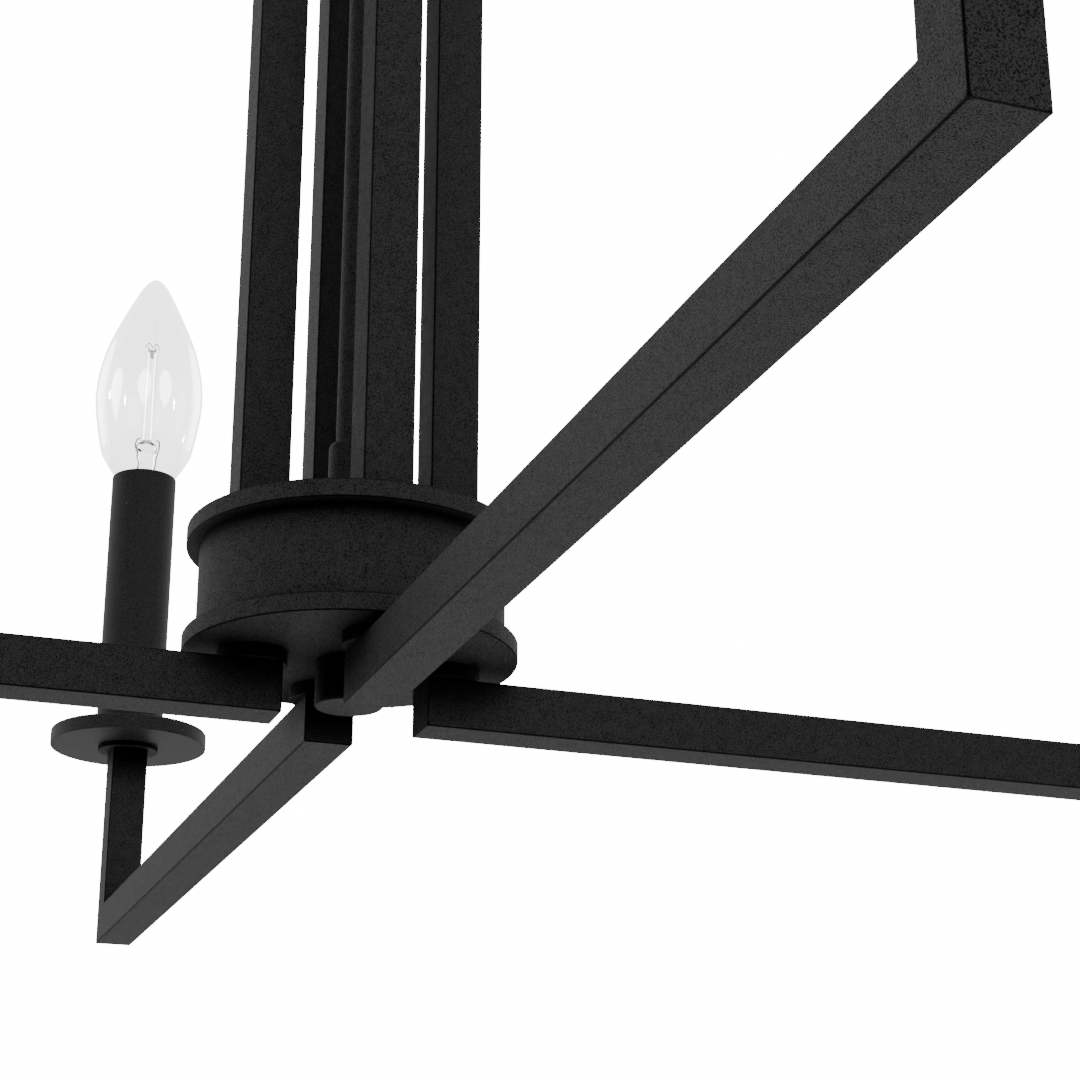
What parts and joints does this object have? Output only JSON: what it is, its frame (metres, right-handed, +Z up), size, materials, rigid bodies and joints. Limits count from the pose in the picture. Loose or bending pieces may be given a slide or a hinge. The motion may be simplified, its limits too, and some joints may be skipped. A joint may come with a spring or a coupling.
{
  "type": "linear island pendant",
  "caption": "Linear island pendant: square-tube cross arms with mitred upturns, candle sleeves and clear torpedo bulbs, hung from a square-bar column, stem and swivel canopy.",
  "frame": {"origin": "on the ceiling plane at the centre of the canopy and of the two box-screw slots", "axes": "+Z up out of the ceiling face, +X along the two long arms, +Y along a short arm"},
  "size_m": [1.0418, 0.6378, 0.8506],
  "materials": {
    "black_powder_coat": "finely textured matt black powder coat",
    "black_satin": "smooth satin black",
    "zinc_steel": "zinc plated",
    "green_screw": "green passivated screw",
    "socket_plastic": "moulded black phenolic",
    "clear_glass": "clear glass",
    "nickel_cap": "nickel plated screw cap"
  },
  "bodies": {
    "ceiling_mount": {"mounting_bar": "zinc_steel", "canopy": "black_powder_coat", "canopy_studs": "zinc_steel", "canopy_ball_nuts": "black_powder_coat", "ground_screw": "green_screw", "canopy_nipple": "zinc_steel", "canopy_lock_nut": "zinc_steel"},
    "swivel_head": {"swivel_yoke": "black_powder_coat", "swivel_pin": "black_powder_coat"},
    "pendant": {"swivel_knuckle": "black_powder_coat", "stem_upper": "black_powder_coat", "stem_collar": "black_powder_coat", "stem_lower": "black_powder_coat", "top_cap": "black_powder_coat", "top_plate": "black_powder_coat", "rod_couplings": "black_powder_coat", "centre_rod": "black_powder_coat", "hub_plate": "black_powder_coat", "hub_band": "black_powder_coat", "hub_base": "black_powder_coat", "finial": "black_powder_coat", "arm_collars": "black_powder_coat", "candle_washers": "black_powder_coat", "arm_end_blocks": "black_powder_coat", "column_nipples": "zinc_steel", "column_lock_nuts": "zinc_steel", "bar_screws": "zinc_steel", "tube_end_blocks": "zinc_steel", "arm_screws": "zinc_steel", "candle_nipples": "zinc_steel", "socket_brackets": "zinc_steel", "lamp_sockets": "socket_plastic", "column_bar_right": "black_powder_coat", "arm_right": "black_powder_coat", "upright_right": "black_powder_coat", "drip_pan_right": "black_powder_coat", "candle_sleeve_right": "black_satin", "column_bar_back": "black_powder_coat", "arm_back": "black_powder_coat", "upright_back": "black_powder_coat", "drip_pan_back": "black_powder_coat", "candle_sleeve_back": "black_satin", "column_bar_left": "black_powder_coat", "arm_left": "black_powder_coat", "upright_left": "black_powder_coat", "drip_pan_left": "black_powder_coat", "candle_sleeve_left": "black_satin", "column_bar_front": "black_powder_coat", "arm_front": "black_powder_coat", "upright_front": "black_powder_coat", "drip_pan_front": "black_powder_coat", "candle_sleeve_front": "black_satin"},
    "bulb_right": {"bulb_glass_right": "clear_glass", "bulb_cap_right": "nickel_cap"},
    "bulb_back": {"bulb_glass_back": "clear_glass", "bulb_cap_back": "nickel_cap"},
    "bulb_left": {"bulb_glass_left": "clear_glass", "bulb_cap_left": "nickel_cap"},
    "bulb_front": {"bulb_glass_front": "clear_glass", "bulb_cap_front": "nickel_cap"}
  },
  "joints": [
    {"name": "canopy_swivel", "type": "hinge", "parent": "ceiling_mount", "child": "swivel_head", "pos_m": [0, 0, -0.03], "axis": [0, 0, 1], "range_deg": [-175, 175]},
    {"name": "stem_tilt", "type": "hinge", "parent": "swivel_head", "child": "pendant", "pos_m": [0, 0, -0.0423], "axis": [0, 1, 0], "range_deg": [-30, 30]},
    {"name": "bulb_right_out", "type": "slide", "parent": "pendant", "child": "bulb_right", "axis": [0, 0, 1], "range_m": [0, 0.03]},
    {"name": "bulb_back_out", "type": "slide", "parent": "pendant", "child": "bulb_back", "axis": [0, 0, 1], "range_m": [0, 0.03]},
    {"name": "bulb_left_out", "type": "slide", "parent": "pendant", "child": "bulb_left", "axis": [0, 0, 1], "range_m": [0, 0.03]},
    {"name": "bulb_front_out", "type": "slide", "parent": "pendant", "child": "bulb_front", "axis": [0, 0, 1], "range_m": [0, 0.03]}
  ]
}
